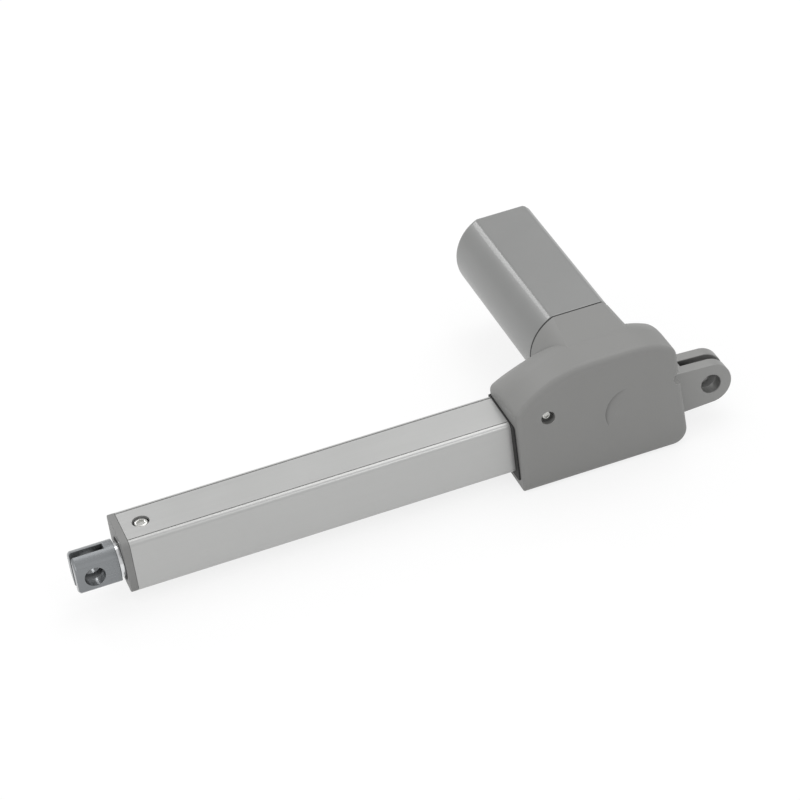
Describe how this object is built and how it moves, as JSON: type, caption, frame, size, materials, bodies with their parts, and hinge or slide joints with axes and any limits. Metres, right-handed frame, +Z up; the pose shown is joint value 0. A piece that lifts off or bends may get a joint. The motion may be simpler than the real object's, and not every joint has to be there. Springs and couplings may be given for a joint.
{
  "type": "electric linear actuator",
  "caption": "Electric linear actuator: a worm gear motor at right angles to a square aluminium tube drives a spindle that slides a round rod, with a fork eye at each end.",
  "frame": {"origin": "centre of the rear eye's bore, on the spindle's axis", "axes": "+X along the spindle towards the rod's end, +Z up, the eyes' bores along Y, the motor along -Y"},
  "size_m": [0.337, 0.1525, 0.0628],
  "materials": {
    "housing_grey": "fine-textured grey moulding",
    "cover_silver": "satin silver-grey paint",
    "tube_alloy": "satin anodised extrusion",
    "cap_alloy": "satin grey die casting",
    "eye_alloy": "blasted die casting",
    "rod_chrome": "polished hard chrome",
    "rod_eye_steel": "bright turned steel",
    "screw_steel": "bright zinc plate",
    "inner_steel": "ground steel",
    "bronze": "machined bronze",
    "can_steel": "satin zinc",
    "magnet_dark": "dark ferrite",
    "nut_plastic": "natural acetal",
    "seal_rubber": "matt black",
    "socket_black": "black moulding",
    "board_green": "coated board"
  },
  "bodies": {
    "housing_set": {"gear_housing": "housing_grey", "bottom_cover": "housing_grey", "cover_screws": "screw_steel", "side_screw": "screw_steel", "tube_seal": "seal_rubber", "power_inlet": "socket_black", "rear_eye": "eye_alloy", "eye_pin": "inner_steel", "rear_bush": "bronze", "bearing_outer_ring": "inner_steel", "bearing_shields": "inner_steel", "bearing_retainer": "inner_steel", "worm_near_bush": "bronze", "worm_far_bush": "bronze", "motor_gasket": "seal_rubber", "motor_cover": "cover_silver", "cover_end_screws": "screw_steel", "motor_can": "can_steel", "motor_magnets": "magnet_dark", "brush_cap": "nut_plastic", "motor_bolts": "screw_steel", "outer_tube": "tube_alloy", "front_cap": "cap_alloy", "rod_wiper": "seal_rubber", "rod_guide": "nut_plastic", "guide_screw": "screw_steel", "switch_board": "board_green", "limit_switches": "socket_black"},
    "worm_rotor": {"worm_shaft": "inner_steel", "armature": "can_steel", "commutator": "bronze"},
    "spindle_set": {"spindle": "inner_steel", "wheel_key": "inner_steel", "worm_wheel": "bronze", "wheel_clip": "inner_steel", "bearing_inner_ring": "inner_steel", "spindle_guide": "nut_plastic"},
    "rod_set": {"spindle_nut": "nut_plastic", "inner_rod": "rod_chrome", "rod_eye": "rod_eye_steel", "rod_pin": "inner_steel"}
  },
  "joints": [
    {"name": "worm_spin", "type": "hinge", "parent": "housing_set", "child": "worm_rotor", "pos_m": [0.0575, 0, 0.022], "axis": [0, -1, 0], "range_deg": [0, 391500]},
    {"name": "spindle_spin", "type": "hinge", "parent": "housing_set", "child": "spindle_set", "pos_m": [0.0575, 0, 0], "axis": [-1, 0, 0], "range_deg": [0, 13501]},
    {"name": "rod_slide", "type": "slide", "parent": "housing_set", "child": "rod_set", "axis": [1, 0, 0], "range_m": [0, 0.15]}
  ],
  "couplings": [
    {"joint": "spindle_spin", "follows": "worm_spin", "ratio": 0.034483},
    {"joint": "rod_slide", "follows": "worm_spin", "m_per_rad": 0.000021952}
  ]
}
